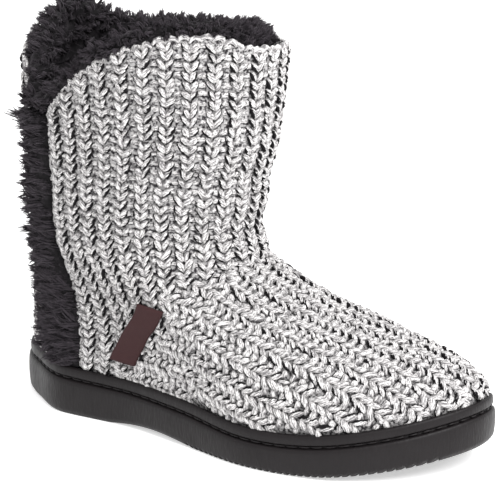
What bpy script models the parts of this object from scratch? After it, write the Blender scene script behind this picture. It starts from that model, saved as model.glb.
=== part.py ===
"""Right slipper boot: a knitted pull-on upper with a fur-filled slit at the outer back, a fur collar,
a folded side label, an insole and a moulded rubber cup sole.

Metres. +X points to the toe, -Y is the outer (lateral) side of this right shoe and +Z is up.
The origin is on the tread's flat heel face, HEEL_CENTRE in front of the back of the sole.
"""

from math import pi

import bmesh
import bpy
import numpy as np
from mathutils import Matrix

# Driving sizes of the sole
SOLE_LENGTH = 0.265
BALL_WIDTH = 0.099
WAIST_WIDTH = 0.073
HEEL_WIDTH = 0.079
HEEL_CENTRE = 0.042
HEEL_HEIGHT = 0.0255
WAIST_HEIGHT = 0.0225
BALL_HEIGHT = 0.0190
TOE_HEIGHT = 0.0215
TOE_SPRING = 0.0125
ARCH_LIFT = 0.0022
FLOOR_UNDER_LIP = 0.0115
EDGE_ROUND = 0.0022
CUP_DRAFT = 0.0004
LIP_BAND = 0.0062
LIP_INSET = 0.0034
LIP_EDGE = 0.0012
LIP_ROUND = 0.0012
GROOVE_DEPTH = 0.0030
GROOVE_HEIGHT = 0.0013
GROOVE_EASE = 0.0003

# Tread ribs across the forefoot
RIB_PITCH = 0.0034
RIB_SLOT = 0.0015
RIB_DEPTH = 0.0011
RIBS_START = 0.515
RIBS_END = 0.975

# Driving sizes of the upper
KNIT_WALL = 0.0032
UPPER_GAP = 0.0003
CUP_CLEARANCE = 0.0006
CUP_INSET = LIP_INSET + CUP_DRAFT + CUP_CLEARANCE
BULGE_INSET = 0.0026
LIP_LEVEL = 0.06
INSTEP_HEIGHT = 0.092
SHAFT_WIDTH = 0.104
SHAFT_FULLNESS = 0.92

# Collar, in steps round the foot and in levels
SLIT_GAP = 0.0018
FRONT_CORNER_RUN = 0.42
BACK_CORNER_RUN = 0.40
FRONT_CORNER_DROP = 0.150
BACK_CORNER_DROP = 0.138
CORNER_POWER = 2.2
COLLAR_DIP = 0.028
DIP_START = 0.80
DIP_RUN = 0.18
DIP_END = 1.92

# Insole, fur and label
INSOLE_THICKNESS = 0.0055
INSOLE_ROUND = 0.0012
INSOLE_GAP = 0.0009
CUFF_RISE = 0.0085
CUFF_DEPTH = 0.0125
CUFF_DROP = 0.0200
CUFF_SWELL = 0.0065
CUFF_SWELL_RUN = 0.085
CUFF_HUMP = 0.0050
CUFF_HUMP_PLACE = 1.93
CUFF_HUMP_RUN = 0.15
CUFF_LEAN = 0.35
GUSSET_BULGE = 0.0060
GUSSET_TOP_GAP = 0.006
LOCK_SIZE = 0.0042
LABEL_WIDTH = 0.0150
LABEL_LENGTH = 0.0360
LABEL_THICKNESS = 0.0014
LABEL_GAP = 0.0006
LABEL_LIFT = 0.40
LABEL_SKEW = 0.10
LABEL_FOOT = (0.420, 0.130)
LABEL_RUN = (0.165, 0.320)
LABEL_BOW = 0.018
LABEL_ROWS = 6

# Mesh steps round and up the lofts
SOLE_STATIONS = 60
INSOLE_STATIONS = 56
UPPER_STATIONS = 58
UPPER_LEVELS = 15
CUFF_STATIONS = 88
GUSSET_COLUMNS = 7

COLLECTION = "slipper_boot"


def smooth(table_x, table_y, x):
    """Monotone cubic through the table's points, with slopes that never overshoot a flat or a peak."""
    table_x = np.asarray(table_x, float)
    table_y = np.asarray(table_y, float)
    step = np.diff(table_x)
    rise = np.diff(table_y) / step
    before, after = rise[:-1], rise[1:]
    weight_a = 2 * step[1:] + step[:-1]
    weight_b = step[1:] + 2 * step[:-1]
    same_way = before * after > 0
    safe_before = np.where(same_way, before, 1.0)
    safe_after = np.where(same_way, after, 1.0)
    mean = (weight_a + weight_b) / (weight_a / safe_before + weight_b / safe_after)
    slope = np.concatenate([[rise[0]], np.where(same_way, mean, 0.0), [rise[-1]]])
    x = np.clip(np.asarray(x, float), table_x[0], table_x[-1])
    i = np.clip(np.searchsorted(table_x, x, side="right") - 1, 0, len(step) - 1)
    f = (x - table_x[i]) / step[i]
    start = (1 + 2 * f) * (1 - f) ** 2 * table_y[i] + f * (1 - f) ** 2 * step[i] * slope[i]
    end = f * f * (3 - 2 * f) * table_y[i + 1] + f * f * (f - 1) * step[i] * slope[i + 1]
    return start + end


# Sole outline: share of the length, the width that the row follows, and its shares on each side
SOLE_OUTLINE = (
    # along, width, lateral, medial
    (0.000, HEEL_WIDTH, 0.00, 0.00),
    (0.025, HEEL_WIDTH, 0.19, 0.22),
    (0.095, HEEL_WIDTH, 0.37, 0.39),
    (0.205, HEEL_WIDTH, 0.530, 0.480),
    (0.345, WAIST_WIDTH, 0.545, 0.455),
    (0.500, WAIST_WIDTH, 0.615, 0.490),
    (0.655, BALL_WIDTH, 0.518, 0.460),
    (0.790, BALL_WIDTH, 0.468, 0.490),
    (0.905, BALL_WIDTH, 0.305, 0.430),
    (0.975, BALL_WIDTH, 0.095, 0.325),
    (1.000, BALL_WIDTH, -0.120, 0.120),
)
TURN = [np.arccos(1 - 2 * row[0]) / pi for row in SOLE_OUTLINE]
LATERAL = [row[1] * row[2] for row in SOLE_OUTLINE]
MEDIAL = [row[1] * row[3] for row in SOLE_OUTLINE]


def outline(round_sole, inset=0.0):
    """Points of the sole's outline. round_sole runs 0 to 1 from heel to toe on the lateral side and on to 2
    back along the medial side; inset moves the line inwards along its own normal."""

    def raw(s):
        s = np.mod(s, 2.0)
        turn = 1 - np.abs(1 - s)
        x = SOLE_LENGTH * (1 - np.cos(pi * turn)) / 2 - HEEL_CENTRE
        y = np.where(s < 1, -smooth(TURN, LATERAL, turn), smooth(TURN, MEDIAL, turn))
        return x, y

    s = np.asarray(round_sole, float)
    nudge = 0.004
    x, y = raw(s)
    x_on, y_on = raw(s + nudge)
    x_back, y_back = raw(s - nudge)
    dx, dy = x_on - x_back, y_on - y_back
    size = np.hypot(dx, dy)
    return x - inset * dy / size, y + inset * dx / size


def along(x):
    """Share of the sole's length at x, 0 at the heel and 1 at the toe."""
    return (x + HEEL_CENTRE) / SOLE_LENGTH


def base_height(x):
    """Underside: flat under heel and ball, lifted under the arch and sprung up at the toe."""
    share = along(x)
    arch = ARCH_LIFT * np.clip(np.sin(pi * (share - 0.31) / 0.22), 0, None) * (np.abs(share - 0.42) < 0.11)
    spring = TOE_SPRING * np.clip((share - 0.70) / 0.30, 0, None) ** 2
    return arch + spring


def lip_height(x):
    """Top edge of the sole's lip."""
    shares = (0.0, 0.10, 0.28, 0.48, 0.68, 0.85, 1.0)
    flat = (HEEL_HEIGHT, HEEL_HEIGHT, 0.5 * (HEEL_HEIGHT + WAIST_HEIGHT), WAIST_HEIGHT, BALL_HEIGHT)
    toe = (0.5 * (BALL_HEIGHT + TOE_HEIGHT), TOE_HEIGHT)
    spring = TOE_SPRING * np.clip((along(x) - 0.70) / 0.30, 0, None) ** 2
    return smooth(shares, flat + toe, along(x)) + spring


def floor_height(x):
    """Floor of the cup, which the insole lies on."""
    return lip_height(x) - FLOOR_UNDER_LIP


def make_object(name, points, faces, material, collection):
    mesh = bpy.data.meshes.new(name)
    mesh.from_pydata([tuple(p) for p in points], [], faces)
    shell = bmesh.new()
    shell.from_mesh(mesh)
    bmesh.ops.recalc_face_normals(shell, faces=shell.faces)
    shell.to_mesh(mesh)
    shell.free()
    mesh.shade_smooth()
    mesh.set_sharp_from_angle(angle=0.7)
    mesh.materials.append(material)
    made = bpy.data.objects.new(name, mesh)
    collection.objects.link(made)
    return made


def make_material(name, colour, roughness):
    made = bpy.data.materials.new(name)
    made.use_nodes = True
    shader = made.node_tree.nodes["Principled BSDF"]
    shader.inputs["Base Color"].default_value = (*colour, 1.0)
    shader.inputs["Roughness"].default_value = roughness
    shader.inputs["Metallic"].default_value = 0.0
    return made


def loop_loft(rings):
    """Points and faces of a tube through closed rings of equal count, open at both ends."""
    count = len(rings[0])
    points = np.concatenate(rings)
    faces = []
    for level in range(len(rings) - 1):
        low, high = level * count, (level + 1) * count
        for i in range(count):
            j = (i + 1) % count
            faces.append((low + i, low + j, high + j, high + i))
    return points, faces


def ladder_cap(first, count):
    """Faces across a ring whose point i faces point count - i, from its first point to its middle one."""
    half = count // 2
    faces = [(first, first + 1, first + count - 1)]
    for i in range(1, half - 1):
        faces.append((first + i, first + i + 1, first + count - i - 1, first + count - i))
    faces.append((first + half - 1, first + half, first + half + 1))
    return faces


# Side wall from the tread up to the groove: its bulge under the lip, with a rounded edge at either end
SOLE_WALL = (
    # inset as a share of the edge's rounding, height as a share of the wall
    (1.00, 0.00),
    (0.36, 0.10),
    (0.09, 0.30),
    (0.00, 0.62),
    (0.23, 0.96),
    (0.45, 1.00),
)

# Lip's outer face from the groove up to its rounded top
LIP_FACE = (
    # inset as a share of the lip's, depth under the top as a share of the lip's rounding
    (0.47, 1.00),
    (0.70, 0.17),
    (1.00, 0.00),
)


def build_outsole(material, collection):
    """Cup sole: a side profile carried round the outline, closed by the tread and by the cup's floor."""
    s = np.arange(SOLE_STATIONS) * 2.0 / SOLE_STATIONS
    rings = []

    def add_ring(inset, height):
        x, y = outline(s, inset)
        rings.append(np.stack([x, y, height(x)], axis=1))

    for inset, share in SOLE_WALL:
        add_ring(EDGE_ROUND * inset, lambda x: (1 - share) * base_height(x) + share * (lip_height(x) - LIP_BAND))
    roof = LIP_BAND - GROOVE_HEIGHT
    for inset, depth in ((GROOVE_DEPTH, LIP_BAND), (GROOVE_DEPTH, roof), (LIP_EDGE, roof - GROOVE_EASE)):
        add_ring(inset, lambda x: lip_height(x) - depth)
    for inset, depth in LIP_FACE:
        add_ring(LIP_INSET * inset, lambda x: lip_height(x) - LIP_ROUND * depth)
    add_ring(LIP_INSET + CUP_DRAFT, floor_height)
    points, faces = loop_loft(rings)
    last = (len(rings) - 1) * SOLE_STATIONS
    faces += ladder_cap(0, SOLE_STATIONS) + ladder_cap(last, SOLE_STATIONS)
    return make_object("outsole", points, faces, material, collection)


def cut_ribs(outsole, cutters):
    """Slots across the forefoot that leave the tread's ribs and the toothed edge under the side wall."""
    bars = bmesh.new()
    size = Matrix.Diagonal((RIB_SLOT, 2 * BALL_WIDTH, 2 * RIB_DEPTH, 1.0))
    for x in np.arange(RIBS_START * SOLE_LENGTH, RIBS_END * SOLE_LENGTH, RIB_PITCH) - HEEL_CENTRE:
        slope = np.arctan2(base_height(x + RIB_SLOT) - base_height(x - RIB_SLOT), 2 * RIB_SLOT)
        place = Matrix.Translation((x, 0.0, float(base_height(x)))) @ Matrix.Rotation(-float(slope), 4, "Y")
        bmesh.ops.create_cube(bars, size=1.0, matrix=place @ size)
    mesh = bpy.data.meshes.new("rib_slots")
    bars.to_mesh(mesh)
    bars.free()
    cutter = bpy.data.objects.new("rib_slots", mesh)
    cutter.hide_render = True
    cutter.display_type = "WIRE"
    cutters.objects.link(cutter)
    cut = outsole.modifiers.new("ribs", "BOOLEAN")
    cut.operation = "DIFFERENCE"
    cut.object = cutter


# Sections of the upper from the cup to the collar, each a closed ring that tilts from its back to its front
UPPER_RINGS = (
    # level, follows lip, back rise, front rise, back place, front place, width, oval
    (0.00, 1.00, 0.000, 0.000, 0.000, 1.000, 1.000, 0.00),
    (0.06, 1.00, 0.000, 0.000, 0.000, 1.000, 1.000, 0.00),
    (0.12, 1.00, 0.100, 0.055, 0.008, 0.990, 1.000, 0.00),
    (0.20, 0.60, 0.300, 0.268, 0.012, 0.960, 0.990, 0.03),
    (0.28, 0.30, 0.483, 0.447, 0.016, 0.905, 0.965, 0.12),
    (0.36, 0.00, 0.663, 0.590, 0.021, 0.826, 0.915, 0.28),
    (0.44, 0.00, 0.760, 0.668, 0.027, 0.728, 0.870, 0.50),
    (0.52, 0.00, 0.870, 0.770, 0.034, 0.628, 0.848, 0.75),
    (0.60, 0.00, 1.000, 0.905, 0.039, 0.545, 0.842, 0.94),
    (0.67, 0.00, 1.150, 1.120, 0.041, 0.530, 0.862, 1.00),
    (0.82, 0.00, 1.570, 1.580, 0.038, 0.564, 0.940, 1.00),
    (1.00, 0.00, 2.080, 2.100, 0.028, 0.582, 1.040, 1.00),
)

# Edges of the slit, in steps round the foot, and how far the collar drops to them in levels
SLIT_EDGES = (
    # level, rear, front
    (0.00, 0.242, 0.318),
    (0.36, 0.262, 0.340),
    (0.62, 0.292, 0.374),
    (1.00, 0.285, 0.365),
)


def ring_value(column, level):
    """One column of UPPER_RINGS at a level between its rows."""
    return smooth([row[0] for row in UPPER_RINGS], [row[column] for row in UPPER_RINGS], level)


def upper_point(s, level):
    """Outer face of the knit at s round the foot and at a level from the cup, 0, to the collar, 1."""
    s = np.mod(np.asarray(s, float), 2.0)
    level = np.asarray(level, float)
    turn = 1 - np.abs(1 - s)
    tucked = np.clip(2.0 - level / LIP_LEVEL, 0.0, 1.0)
    line_x, line_y = outline(s, BULGE_INSET + (CUP_INSET - BULGE_INSET) * tucked)
    share = along(line_x)
    back_x = ring_value(4, level)
    front_x = ring_value(5, level)
    x = SOLE_LENGTH * (back_x + (front_x - back_x) * share) - HEEL_CENTRE
    round_y = np.where(s < 1, -0.5, 0.5) * SHAFT_WIDTH * np.sin(pi * turn) ** SHAFT_FULLNESS
    oval = ring_value(7, level)
    y = ring_value(6, level) * ((1 - oval) * line_y + oval * round_y)
    rise = INSTEP_HEIGHT * (ring_value(2, level) * (1 - share) + ring_value(3, level) * share)
    z = ring_value(1, level) * lip_height(x) + rise
    cup_z = floor_height(x) + UPPER_GAP
    z = np.where(level < LIP_LEVEL, cup_z + (lip_height(x) - cup_z) * level / LIP_LEVEL, z)
    return np.stack([x, y, z], axis=-1)


def upper_normal(s, level):
    """Outward direction of the knit's outer face."""
    small = 1e-3
    low = np.maximum(level - small, 0.0)
    high = np.minimum(level + small, 1.0)
    round_foot = upper_point(s + small, level) - upper_point(s - small, level)
    upwards = upper_point(s, high) - upper_point(s, low)
    normal = np.cross(round_foot, upwards)
    normal /= np.linalg.norm(normal, axis=-1, keepdims=True)
    return np.where(level[..., None] < LIP_LEVEL, flat_direction(normal), normal)


def flat_direction(vectors):
    """The same directions laid level."""
    flat = vectors * np.array([1.0, 1.0, 0.0])
    return flat / np.linalg.norm(flat, axis=-1, keepdims=True)


def slit_edge(column, level):
    """Place of the slit's rear edge, column 1, or of its front edge, column 2, at a level."""
    return smooth([row[0] for row in SLIT_EDGES], [row[column] for row in SLIT_EDGES], level)


def collar_level(s):
    """Level of the knit's top edge: it rounds down to the slit, and its front and inner side stand lower."""
    s = np.mod(np.asarray(s, float), 2.0)
    back, front = slit_edge(1, 1.0), slit_edge(2, 1.0)
    ahead = np.clip(1 - (s - front) / FRONT_CORNER_RUN, 0.0, 1.0)
    behind = np.clip(1 - np.mod(back - s, 2.0) / BACK_CORNER_RUN, 0.0, 1.0)
    across = np.clip((s - back) / (front - back), 0.0, 1.0)
    lower = np.clip(np.minimum(s - DIP_START, DIP_END - s) / DIP_RUN, 0.0, 1.0)
    dip = COLLAR_DIP * lower * lower * (3 - 2 * lower)
    front_corner = FRONT_CORNER_DROP * ahead**CORNER_POWER
    back_corner = BACK_CORNER_DROP * behind**CORNER_POWER
    between = BACK_CORNER_DROP + (FRONT_CORNER_DROP - BACK_CORNER_DROP) * across
    return 1 - np.where((s > back) & (s < front), between, np.where(s >= front, front_corner, 0) + back_corner + dip)


def wall_solid(name, outer, inner, material, collection):
    """Closed wall between two equal grids of points, joined along their four borders."""
    rows, columns = outer.shape[:2]
    index = np.arange(rows * columns).reshape(rows, columns)
    back = index + rows * columns
    faces = []
    for grid in (index, back):
        quads = np.stack([grid[:-1, :-1], grid[:-1, 1:], grid[1:, 1:], grid[1:, :-1]], axis=-1)
        faces += [tuple(int(i) for i in quad) for quad in quads.reshape(-1, 4)]
    for line, other in ((index[0], back[0]), (index[-1], back[-1]), (index[:, 0], back[:, 0]),
                        (index[:, -1], back[:, -1])):
        for i in range(len(line) - 1):
            faces.append((int(line[i]), int(line[i + 1]), int(other[i + 1]), int(other[i])))
    points = np.concatenate([outer.reshape(-1, 3), inner.reshape(-1, 3)])
    return make_object(name, points, faces, material, collection)


def level_steps():
    """Levels of the knit's mesh rows, from the cup's floor to the collar."""
    return np.concatenate([[0.0, LIP_LEVEL], np.linspace(2 * LIP_LEVEL, 1.0, UPPER_LEVELS)])[:, None]


def build_upper(material, collection):
    """Hollow knit shell, open at the collar, at the slit and over the sole's cup."""
    heights = level_steps()
    across = np.linspace(0.0, 1.0, UPPER_STATIONS)[None, :]
    start, end = slit_edge(2, 1.0) + SLIT_GAP, 2.0 + slit_edge(1, 1.0) - SLIT_GAP
    level = heights * collar_level(start + (end - start) * across)
    level[:2] = heights[:2]
    start, end = slit_edge(2, level) + SLIT_GAP, 2.0 + slit_edge(1, level) - SLIT_GAP
    s = start + (end - start) * across
    outer = upper_point(s, level)
    inner = outer - KNIT_WALL * upper_normal(s, level)
    return wall_solid("upper", outer, inner, material, collection)


def lock_height(row, column):
    """Share of a lock's size at a mesh point: every other point carries a lock, each of its own height."""
    wave = np.sin(12.9898 * row + 78.233 * column) * 43758.5453
    return np.where((row + column) % 2 == 0, 0.45 + 0.55 * (wave - np.floor(wave)), -0.12)


# Section of the fur cuff over the knit's rim, from its outer foot over its crown and down inside the boot
CUFF_SECTION = (
    # out as a share of the depth, up as a share of the rise or drop, locks
    (-0.03, 0.07, 0.0),
    (-0.04, 0.38, 0.5),
    (-0.08, 0.75, 0.8),
    (-0.24, 1.00, 1.0),
    (-0.52, 1.06, 1.0),
    (-0.85, 0.85, 1.0),
    (-1.02, 0.35, 0.9),
    (-1.02, -0.20, 0.8),
    (-0.95, -0.60, 0.6),
    (-0.70, -0.97, 0.2),
)


def build_fur_cuff(material, collection):
    """Fur roll that stands on the knit's rim, crosses the slit's top and hangs down inside, with its locks."""
    s = np.arange(CUFF_STATIONS) * 2.0 / CUFF_STATIONS
    small = 2e-3
    rim = upper_point(s, collar_level(s))
    rim_line = upper_point(s + small, collar_level(s + small)) - upper_point(s - small, collar_level(s - small))
    rim_line /= np.linalg.norm(rim_line, axis=-1, keepdims=True)
    outward = upper_normal(s, collar_level(s))
    upward = np.cross(outward, rim_line)
    upward *= np.sign(upward[:, 2:])
    upward = CUFF_LEAN * upward + (1 - CUFF_LEAN) * np.array([0.0, 0.0, 1.0])
    middle_of_slit = 0.5 * (slit_edge(1, 1.0) + slit_edge(2, 1.0))
    swell = CUFF_SWELL * np.exp(-(((s - middle_of_slit) / CUFF_SWELL_RUN) ** 2))
    off_hump = np.mod(s - CUFF_HUMP_PLACE + 1, 2.0) - 1
    rise = CUFF_RISE + CUFF_HUMP * np.exp(-((off_hump / CUFF_HUMP_RUN) ** 2))
    inner_face = -(KNIT_WALL + UPPER_GAP) / CUFF_DEPTH
    foot_up = CUFF_SECTION[0][1]
    rows = CUFF_SECTION + ((inner_face, -1.0, 0.0), (inner_face, -0.5, 0.0), (inner_face, foot_up, 0.0))
    level_length = np.linalg.norm(rim - upper_point(s, collar_level(s) - small), axis=-1) / small
    centre = rim - 0.4 * CUFF_DEPTH * outward + 0.35 * CUFF_RISE * upward
    station = np.arange(CUFF_STATIONS)
    points = []
    for row, (out, up, lock) in enumerate(rows):
        if up > 0:
            fuller = swell * min(2 * lock, 1.0) * np.clip(1 + 1.6 * out, 0.0, 1.0)
            point = rim + (CUFF_DEPTH * out + fuller)[:, None] * outward
            point = point + np.where(up > foot_up, rise, CUFF_RISE)[:, None] * up * upward
        else:
            level = collar_level(s) + up * CUFF_DROP / level_length
            point = upper_point(s, level) + CUFF_DEPTH * out * upper_normal(s, level)
        away = point - centre
        away /= np.linalg.norm(away, axis=-1, keepdims=True)
        points.append(point + (LOCK_SIZE * lock * lock_height(station, row))[:, None] * away)
    points = np.stack(points, axis=1)
    count = len(rows)
    faces = []
    for i in range(CUFF_STATIONS):
        here, there = i * count, (i + 1) % CUFF_STATIONS * count
        for j in range(count):
            k = (j + 1) % count
            faces.append((here + j, there + j, there + k, here + k))
    return make_object("fur_cuff", points.reshape(-1, 3), faces, material, collection)


def build_fur_gusset(material, collection):
    """Fur strip that fills the slit from the cup to the cuff, crowned outwards, with its locks."""
    rows = level_steps()[:, 0]
    heights = np.sort(np.concatenate([rows, (rows[1:] + rows[:-1]) / 2]))[:, None]
    across = np.linspace(0.0, 1.0, GUSSET_COLUMNS)[None, :]
    top = collar_level(slit_edge(1, 1.0) + (slit_edge(2, 1.0) - slit_edge(1, 1.0)) * across)
    level = np.where(heights > LIP_LEVEL, heights * (top - GUSSET_TOP_GAP), heights)
    s = slit_edge(1, level) + (slit_edge(2, level) - slit_edge(1, level)) * across
    normal = upper_normal(s, level)
    face = upper_point(s, level)
    rising = np.clip((level - 1.15 * LIP_LEVEL) / LIP_LEVEL, 0.0, 1.0)
    under_cuff = 1 - 0.75 * np.clip((heights - 0.93) / 0.07, 0.0, 1.0)
    crown = np.sin(pi * across) ** 0.6 * rising * under_cuff
    row = np.arange(len(heights))[:, None]
    column = np.arange(GUSSET_COLUMNS)[None, :]
    lock = LOCK_SIZE * lock_height(row, column) * (heights < 1.0)
    outer = face + (crown * (GUSSET_BULGE + lock))[..., None] * normal
    inner = face - KNIT_WALL * normal
    return wall_solid("fur_gusset", outer, inner, material, collection)


def build_side_label(material, collection):
    """Folded tab whose front edge is caught in the vamp's seam and whose rear edge stands off the knit."""
    foot_s, foot_level = LABEL_FOOT
    run_s, run_level = LABEL_RUN
    low = upper_point(foot_s, np.array(foot_level))
    high = upper_point(foot_s + run_s, np.array(foot_level + run_level))
    share = LABEL_LENGTH / np.linalg.norm(high - low) * np.linspace(0.0, 1.0, LABEL_ROWS)
    s = foot_s + run_s * share - LABEL_BOW * 4 * share * (1 - share)
    level = foot_level + run_level * share
    normal = upper_normal(s, level)
    seam = upper_point(s, level) + LABEL_GAP * normal
    back = -(upper_point(s + SLIT_GAP, level) - upper_point(s - SLIT_GAP, level))
    back /= np.linalg.norm(back, axis=-1, keepdims=True)
    rise = np.cross(back, normal)
    rise *= np.sign(rise[:, 2:])
    width = np.cos(LABEL_LIFT) * (np.cos(LABEL_SKEW) * back + np.sin(LABEL_SKEW) * rise) + np.sin(LABEL_LIFT) * normal
    face = np.cross(width, seam[-1:] - seam[:1])
    face /= np.linalg.norm(face, axis=-1, keepdims=True)
    face *= np.sign((face * normal).sum(axis=-1, keepdims=True))
    under = np.stack([seam, seam + 0.5 * LABEL_WIDTH * width, seam + LABEL_WIDTH * width], axis=1)
    over = under + LABEL_THICKNESS * face[:, None, :]
    return wall_solid("side_label", over, under, material, collection)


def build_insole(material, collection):
    """Flat footbed on the cup's floor, a running gap inside the knit's wall."""
    s = np.arange(INSOLE_STATIONS) * 2.0 / INSOLE_STATIONS
    inset = CUP_INSET + KNIT_WALL + INSOLE_GAP
    rings = []
    for drop, lift in ((0.0, UPPER_GAP), (0.0, INSOLE_THICKNESS - INSOLE_ROUND), (INSOLE_ROUND, INSOLE_THICKNESS)):
        x, y = outline(s, inset + drop)
        rings.append(np.stack([x, y, floor_height(x) + lift], axis=1))
    points, faces = loop_loft(rings)
    faces += ladder_cap(0, INSOLE_STATIONS) + ladder_cap(2 * INSOLE_STATIONS, INSOLE_STATIONS)
    return make_object("insole", points, faces, material, collection)


def main():
    for found in list(bpy.data.objects):
        bpy.data.objects.remove(found, do_unlink=True)
    parts = bpy.data.collections.new(COLLECTION)
    cutters = bpy.data.collections.new("cutters")
    bpy.context.scene.collection.children.link(parts)
    bpy.context.scene.collection.children.link(cutters)
    rubber = make_material("moulded_rubber", (0.035, 0.032, 0.034), 0.55)
    knit = make_material("marled_knit", (0.55, 0.54, 0.53), 0.9)
    footbed = make_material("footbed_fabric", (0.05, 0.045, 0.048), 0.95)
    fur = make_material("curly_fur", (0.022, 0.020, 0.023), 1.0)
    ribbon = make_material("label_ribbon", (0.065, 0.030, 0.030), 0.8)
    outsole = build_outsole(rubber, parts)
    cut_ribs(outsole, cutters)
    build_upper(knit, parts)
    build_insole(footbed, parts)
    build_fur_cuff(fur, parts)
    build_fur_gusset(fur, parts)
    build_side_label(ribbon, parts)


main()
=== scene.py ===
"""Right slipper boot, dressed: moulded rubber sole, footbed, marled rib knit, curly fur and a blank tab.

Metres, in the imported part's frame: +X points to the toe, -Y is the outer side and the floor is at Z 0.
"""

from math import pi

import bpy
import numpy as np
from mathutils import Matrix, Vector


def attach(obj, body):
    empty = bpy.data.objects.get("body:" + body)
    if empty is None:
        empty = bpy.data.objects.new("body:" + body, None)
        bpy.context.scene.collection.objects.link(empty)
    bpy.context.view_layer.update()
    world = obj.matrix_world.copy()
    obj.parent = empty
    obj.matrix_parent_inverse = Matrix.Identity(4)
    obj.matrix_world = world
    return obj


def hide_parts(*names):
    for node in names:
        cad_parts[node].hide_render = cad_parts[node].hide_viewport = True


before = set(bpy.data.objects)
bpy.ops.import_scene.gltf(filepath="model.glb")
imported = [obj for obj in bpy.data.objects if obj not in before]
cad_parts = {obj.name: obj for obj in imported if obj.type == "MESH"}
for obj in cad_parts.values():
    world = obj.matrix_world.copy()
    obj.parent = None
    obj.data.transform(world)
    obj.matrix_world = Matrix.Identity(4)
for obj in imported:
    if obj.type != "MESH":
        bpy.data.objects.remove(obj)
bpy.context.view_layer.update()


# Outsole. One moulded cup of dark semi-matte rubber, with a bulging side wall under a flat lip band. A
# groove with moulded stitches runs between them, and fine ribs cross the forefoot and show at its edge.
SOLE_LENGTH = 0.265
BALL_WIDTH = 0.099
WAIST_WIDTH = 0.073
HEEL_WIDTH = 0.079
HEEL_CENTRE = 0.042
HEEL_HEIGHT = 0.0255
WAIST_HEIGHT = 0.0225
BALL_HEIGHT = 0.0190
TOE_HEIGHT = 0.0215
TOE_SPRING = 0.0125
SPRING_START = 0.70
ARCH_LIFT = 0.0022
ARCH_START = 0.31
ARCH_RUN = 0.22
FLOOR_UNDER_LIP = 0.0115
LIP_BAND = 0.0062
LIP_INSET = 0.0034
CUP_DRAFT = 0.0004
RIB_PITCH = 0.0034
RIB_SLOT = 0.0015
RIB_DEPTH = 0.0011
RIB_EDGE = 0.00012
RIBS_START = 0.515
RIBS_END = 0.975
SOLE_RUNGS = 170
RUNG_CLEARANCE = 0.0004
LIP_HEIGHTS = (
    # along, height
    (0.00, HEEL_HEIGHT),
    (0.10, HEEL_HEIGHT),
    (0.28, 0.5 * (HEEL_HEIGHT + WAIST_HEIGHT)),
    (0.48, WAIST_HEIGHT),
    (0.68, BALL_HEIGHT),
    (0.85, 0.5 * (BALL_HEIGHT + TOE_HEIGHT)),
    (1.00, TOE_HEIGHT),
)
SOLE_OUTLINE = (
    # along, width, lateral share, medial share
    (0.000, HEEL_WIDTH, 0.00, 0.00),
    (0.025, HEEL_WIDTH, 0.19, 0.22),
    (0.095, HEEL_WIDTH, 0.37, 0.39),
    (0.205, HEEL_WIDTH, 0.530, 0.480),
    (0.345, WAIST_WIDTH, 0.545, 0.455),
    (0.500, WAIST_WIDTH, 0.615, 0.490),
    (0.655, BALL_WIDTH, 0.518, 0.460),
    (0.790, BALL_WIDTH, 0.468, 0.490),
    (0.905, BALL_WIDTH, 0.305, 0.430),
    (0.975, BALL_WIDTH, 0.095, 0.325),
    (1.000, BALL_WIDTH, -0.120, 0.120),
)
TURN = [np.arccos(1 - 2 * row[0]) / pi for row in SOLE_OUTLINE]
LATERAL = [row[1] * row[2] for row in SOLE_OUTLINE]
MEDIAL = [row[1] * row[3] for row in SOLE_OUTLINE]


def smooth(table_x, table_y, x):
    """Monotone cubic through a table's points: each slope is the harmonic mean of its neighbours'."""
    table_x = np.asarray(table_x, float)
    table_y = np.asarray(table_y, float)
    step = np.diff(table_x)
    rise = np.diff(table_y) / step
    before, after = rise[:-1], rise[1:]
    weight_a = 2 * step[1:] + step[:-1]
    weight_b = step[1:] + 2 * step[:-1]
    same_way = before * after > 0
    safe_before = np.where(same_way, before, 1.0)
    safe_after = np.where(same_way, after, 1.0)
    mean = (weight_a + weight_b) / (weight_a / safe_before + weight_b / safe_after)
    slope = np.concatenate([[rise[0]], np.where(same_way, mean, 0.0), [rise[-1]]])
    x = np.clip(np.asarray(x, float), table_x[0], table_x[-1])
    i = np.clip(np.searchsorted(table_x, x, side="right") - 1, 0, len(step) - 1)
    f = (x - table_x[i]) / step[i]
    start = (1 + 2 * f) * (1 - f) ** 2 * table_y[i] + f * (1 - f) ** 2 * step[i] * slope[i]
    end = f * f * (3 - 2 * f) * table_y[i + 1] + f * f * (f - 1) * step[i] * slope[i + 1]
    return start + end


def table_value(table, column, place):
    """One column of a table at a place between its rows, smooth through them; column 0 holds the places."""
    return smooth([row[0] for row in table], [row[column] for row in table], place)


def outline(round_sole, inset=0.0):
    """Sole outline at 0 to 1 from heel to toe on the outer side and to 2 back along the inner side, moved
    inwards along its own normal by the inset."""

    def raw(s):
        s = np.mod(s, 2.0)
        turn = 1 - np.abs(1 - s)
        x = SOLE_LENGTH * (1 - np.cos(pi * turn)) / 2 - HEEL_CENTRE
        return x, np.where(s < 1, -smooth(TURN, LATERAL, turn), smooth(TURN, MEDIAL, turn))

    s = np.asarray(round_sole, float)
    nudge = 0.004
    x, y = raw(s)
    x_on, y_on = raw(s + nudge)
    x_back, y_back = raw(s - nudge)
    dx, dy = x_on - x_back, y_on - y_back
    size = np.hypot(dx, dy)
    return x - inset * dy / size, y + inset * dx / size


def along(x):
    """Share of the sole's length at x."""
    return (x + HEEL_CENTRE) / SOLE_LENGTH


def toe_spring(x):
    """Rise of the forefoot off the floor, as the square of the way past the ball."""
    return TOE_SPRING * np.clip((along(x) - SPRING_START) / (1 - SPRING_START), 0, None) ** 2


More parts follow.
